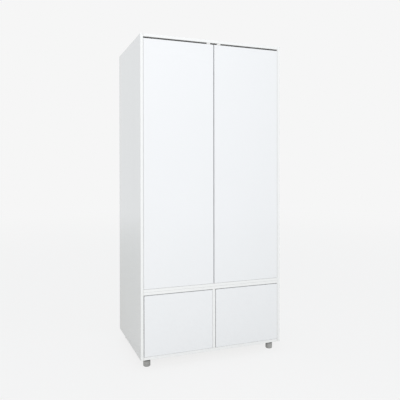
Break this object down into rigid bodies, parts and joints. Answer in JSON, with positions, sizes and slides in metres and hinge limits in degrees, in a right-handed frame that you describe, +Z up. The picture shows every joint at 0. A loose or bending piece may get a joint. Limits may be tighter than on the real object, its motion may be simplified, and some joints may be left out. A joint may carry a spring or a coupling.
{
  "type": "wardrobe",
  "caption": "Tall white high-gloss wardrobe without handles: inset doors over side-by-side drawers, a hanging rail inside, short round metal feet.",
  "frame": {"origin": "on the ground, under the middle of the case", "axes": "+Z up, the doors and drawers face -Y, +X to the right of someone who faces them"},
  "size_m": [0.86, 0.58, 1.83],
  "materials": {
    "gloss_lacquer": "white high-gloss lacquer on board",
    "white_melamine": "matt white melamine on board",
    "hardboard": "white-faced hardboard",
    "foot_metal": "satin silver grey",
    "rail_chrome": "polished",
    "plated_steel": "zinc plated",
    "white_plastic": "satin white",
    "grey_plastic": "satin grey"
  },
  "bodies": {
    "case": {"left_side_panel": "gloss_lacquer", "right_side_panel": "gloss_lacquer", "top_panel": "gloss_lacquer", "bottom_panel": "white_melamine", "wardrobe_floor_panel": "white_melamine", "drawer_bay_top_panel": "white_melamine", "drawer_divider": "white_melamine", "back_panel": "hardboard", "front_left_foot": "foot_metal", "front_right_foot": "foot_metal", "rear_left_foot": "foot_metal", "rear_right_foot": "foot_metal", "hanging_rail": "rail_chrome", "left_rail_socket": "rail_chrome", "right_rail_socket": "rail_chrome", "left_hinge_arm_lower": "plated_steel", "left_hinge_arm_middle": "plated_steel", "left_hinge_arm_upper": "plated_steel", "right_hinge_arm_lower": "plated_steel", "right_hinge_arm_middle": "plated_steel", "right_hinge_arm_upper": "plated_steel", "left_latch_body": "white_plastic", "right_latch_body": "white_plastic", "left_drawer_left_case_runner": "plated_steel", "left_drawer_right_case_runner": "plated_steel", "right_drawer_left_case_runner": "plated_steel", "right_drawer_right_case_runner": "plated_steel"},
    "left_door": {"left_door": "gloss_lacquer", "left_hinge_cup_lower": "plated_steel", "left_hinge_cup_middle": "plated_steel", "left_hinge_cup_upper": "plated_steel", "left_strike_plate": "plated_steel"},
    "left_hinge_links": {"left_hinge_link_lower": "plated_steel", "left_hinge_link_middle": "plated_steel", "left_hinge_link_upper": "plated_steel"},
    "left_plunger": {"left_latch_plunger": "grey_plastic"},
    "left_drawer": {"left_drawer_front": "gloss_lacquer", "left_drawer_left_wall": "white_melamine", "left_drawer_right_wall": "white_melamine", "left_drawer_back": "white_melamine", "left_drawer_bottom": "hardboard", "left_drawer_left_drawer_runner": "plated_steel", "left_drawer_right_drawer_runner": "plated_steel"},
    "right_door": {"right_door": "gloss_lacquer", "right_hinge_cup_lower": "plated_steel", "right_hinge_cup_middle": "plated_steel", "right_hinge_cup_upper": "plated_steel", "right_strike_plate": "plated_steel"},
    "right_hinge_links": {"right_hinge_link_lower": "plated_steel", "right_hinge_link_middle": "plated_steel", "right_hinge_link_upper": "plated_steel"},
    "right_plunger": {"right_latch_plunger": "grey_plastic"},
    "right_drawer": {"right_drawer_front": "gloss_lacquer", "right_drawer_left_wall": "white_melamine", "right_drawer_right_wall": "white_melamine", "right_drawer_back": "white_melamine", "right_drawer_bottom": "hardboard", "right_drawer_left_drawer_runner": "plated_steel", "right_drawer_right_drawer_runner": "plated_steel"}
  },
  "joints": [
    {"name": "left_door_swing", "type": "hinge", "parent": "case", "child": "left_door", "pos_m": [-0.4128, -0.29, 0.4377], "axis": [0, 0, -1], "range_deg": [0, 105]},
    {"name": "left_links_swing", "type": "hinge", "parent": "case", "child": "left_hinge_links", "pos_m": [-0.4128, -0.29, 0.4377], "axis": [0, 0, -1], "range_deg": [0, 52.5]},
    {"name": "left_plunger_slide", "type": "slide", "parent": "case", "child": "left_plunger", "axis": [0, -1, 0], "range_m": [0, 0.036]},
    {"name": "left_drawer_slide", "type": "slide", "parent": "case", "child": "left_drawer", "axis": [0, -1, 0], "range_m": [0, 0.36]},
    {"name": "right_door_swing", "type": "hinge", "parent": "case", "child": "right_door", "pos_m": [0.4128, -0.29, 0.4377], "axis": [0, 0, 1], "range_deg": [0, 105]},
    {"name": "right_links_swing", "type": "hinge", "parent": "case", "child": "right_hinge_links", "pos_m": [0.4128, -0.29, 0.4377], "axis": [0, 0, 1], "range_deg": [0, 52.5]},
    {"name": "right_plunger_slide", "type": "slide", "parent": "case", "child": "right_plunger", "axis": [0, -1, 0], "range_m": [0, 0.036]},
    {"name": "right_drawer_slide", "type": "slide", "parent": "case", "child": "right_drawer", "axis": [0, -1, 0], "range_m": [0, 0.36]}
  ],
  "couplings": [
    {"joint": "left_links_swing", "follows": "left_door_swing", "ratio": 0.5},
    {"joint": "left_plunger_slide", "follows": "left_door_swing", "m_per_rad": 0.0196},
    {"joint": "right_links_swing", "follows": "right_door_swing", "ratio": 0.5},
    {"joint": "right_plunger_slide", "follows": "right_door_swing", "m_per_rad": 0.0196}
  ]
}
